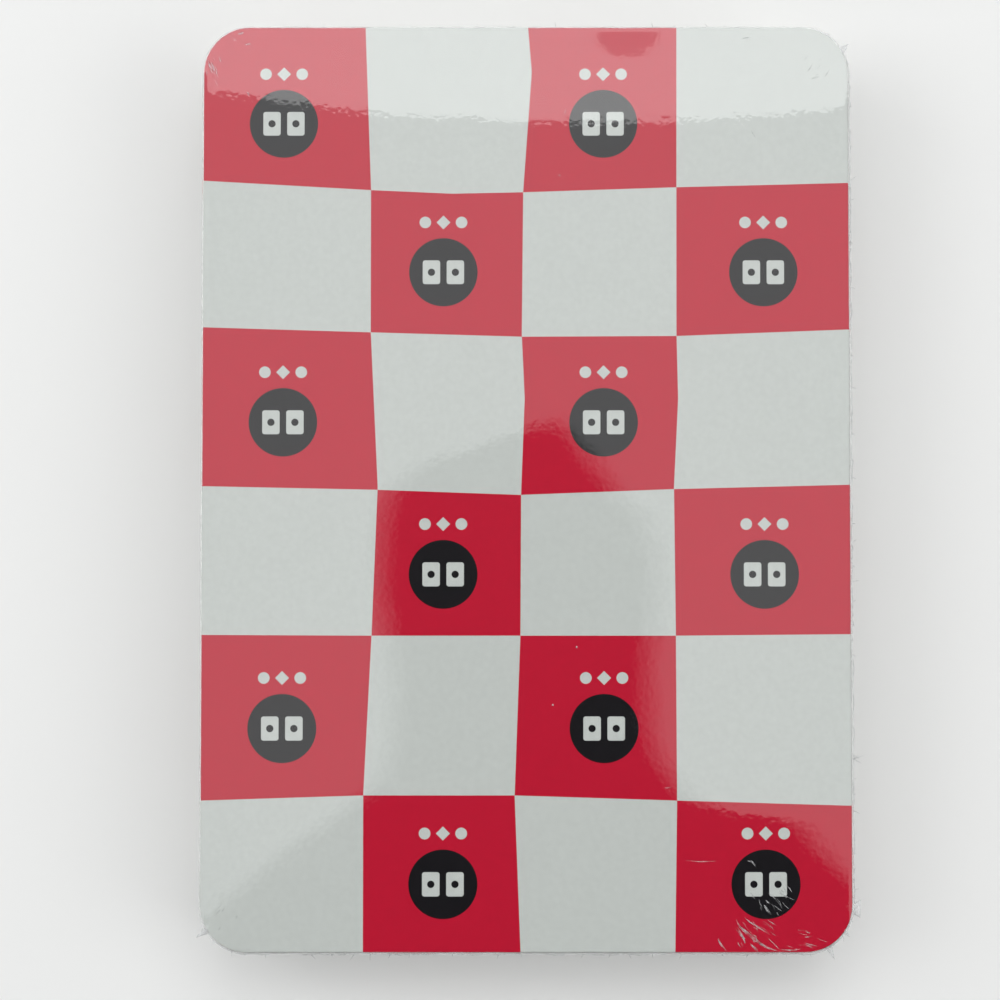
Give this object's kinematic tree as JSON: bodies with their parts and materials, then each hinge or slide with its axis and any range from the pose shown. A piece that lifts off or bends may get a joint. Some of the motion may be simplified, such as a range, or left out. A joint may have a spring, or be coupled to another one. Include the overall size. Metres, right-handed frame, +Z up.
{
  "type": "memory card game pack",
  "caption": "Deck of large rounded-corner picture-matching cards, stacked face down with a red and white checked back, sealed in clear shrink film.",
  "frame": {"origin": "middle of the pack's underside, where the film rests on the table", "axes": "+X across the cards towards the film's weld side, +Y along the length of the cards, +Z up out of the top card's back"},
  "size_m": [0.09, 0.1284, 0.0159],
  "materials": {
    "card_stock": "coated playing-card stock, semi-gloss faces and a matt cut edge",
    "shrink_film": "clear glossy shrink film, drawn tight"
  },
  "bodies": {
    "opened_film": {"film_lower": "shrink_film"},
    "deck": {"card_01": "card_stock", "card_02": "card_stock", "card_03": "card_stock", "card_04": "card_stock", "card_05": "card_stock", "card_06": "card_stock", "card_07": "card_stock", "card_08": "card_stock", "card_09": "card_stock", "card_10": "card_stock", "card_11": "card_stock", "card_12": "card_stock", "card_13": "card_stock", "card_14": "card_stock", "card_15": "card_stock", "card_16": "card_stock", "card_17": "card_stock", "card_18": "card_stock", "card_19": "card_stock", "card_20": "card_stock", "card_21": "card_stock", "card_22": "card_stock", "card_23": "card_stock", "card_24": "card_stock", "card_25": "card_stock", "card_26": "card_stock", "card_27": "card_stock", "card_28": "card_stock", "card_29": "card_stock", "card_30": "card_stock", "card_31": "card_stock", "card_32": "card_stock", "card_33": "card_stock", "card_34": "card_stock", "card_35": "card_stock", "card_36": "card_stock", "card_37": "card_stock", "card_38": "card_stock", "card_39": "card_stock", "card_40": "card_stock", "card_41": "card_stock", "card_42": "card_stock", "card_43": "card_stock", "card_44": "card_stock", "card_45": "card_stock", "card_46": "card_stock", "card_47": "card_stock"},
    "top_card": {"card_48": "card_stock"},
    "film_cover": {"film_upper": "shrink_film"}
  },
  "joints": [
    {"name": "deck_lift", "type": "slide", "parent": "opened_film", "child": "deck", "axis": [0, 0, 1], "range_m": [0, 0.025]},
    {"name": "top_card_lift", "type": "slide", "parent": "deck", "child": "top_card", "axis": [0, 0, 1], "range_m": [0, 0.025]},
    {"name": "film_cover_lift", "type": "slide", "parent": "top_card", "child": "film_cover", "axis": [0, 0, 1], "range_m": [0, 0.025]}
  ]
}
